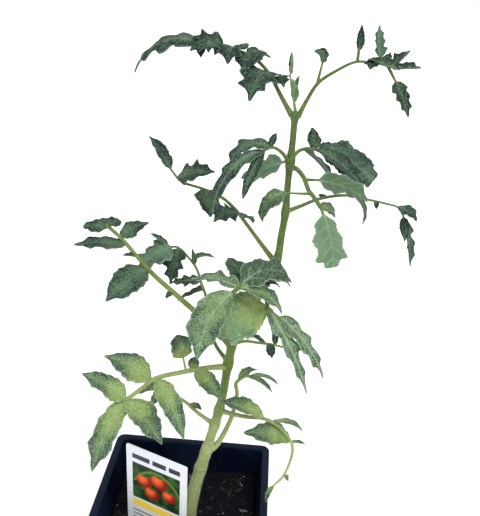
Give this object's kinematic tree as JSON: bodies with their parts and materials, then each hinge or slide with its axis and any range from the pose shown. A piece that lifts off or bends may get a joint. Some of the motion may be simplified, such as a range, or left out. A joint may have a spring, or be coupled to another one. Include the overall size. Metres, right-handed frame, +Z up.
{
  "type": "tomato plant in a nursery pot",
  "caption": "Young tomato plant leaning up from a square plastic nursery pot of potting mix, with a flat stake label beside its stem.",
  "frame": {"origin": "middle of the pot's underside, on the surface that the pot stands on", "axes": "+Z up along the pot's height, +Y away from the viewer, +X to the viewer's right, the way the stem leans"},
  "size_m": [0.1787, 0.1062, 0.3533],
  "materials": {
    "pot_plastic": "dark blue-black moulded plastic, slightly worn at the rim",
    "potting_mix": "near-black crumbly potting mix",
    "label_plastic": "white printed plastic sheet",
    "green_stem": "fresh green stem with fine hairs",
    "leaf_dark": "matt dark green leaf with fine hairs",
    "leaf_light": "matt yellow-green leaf with fine hairs"
  },
  "bodies": {
    "root": {"pot": "pot_plastic", "soil": "potting_mix", "label": "label_plastic", "stem": "green_stem", "leaf_upper_left": "leaf_dark", "leaf_upper_right": "leaf_dark", "leaf_growing_tip": "leaf_light", "leaf_middle_left": "leaf_dark", "leaf_middle_right": "leaf_dark", "leaf_front_right": "leaf_light", "leaf_right_back": "leaf_dark", "leaf_left_high": "leaf_dark", "leaf_front": "leaf_light", "leaf_front_low": "leaf_light", "leaf_low_right_back": "leaf_dark", "leaf_left": "leaf_dark", "leaf_left_back": "leaf_dark", "leaf_low_left": "leaf_light", "leaf_low_right": "leaf_light", "leaf_low_left_back": "leaf_light", "leaf_low_back": "leaf_light"}
  },
  "joints": []
}
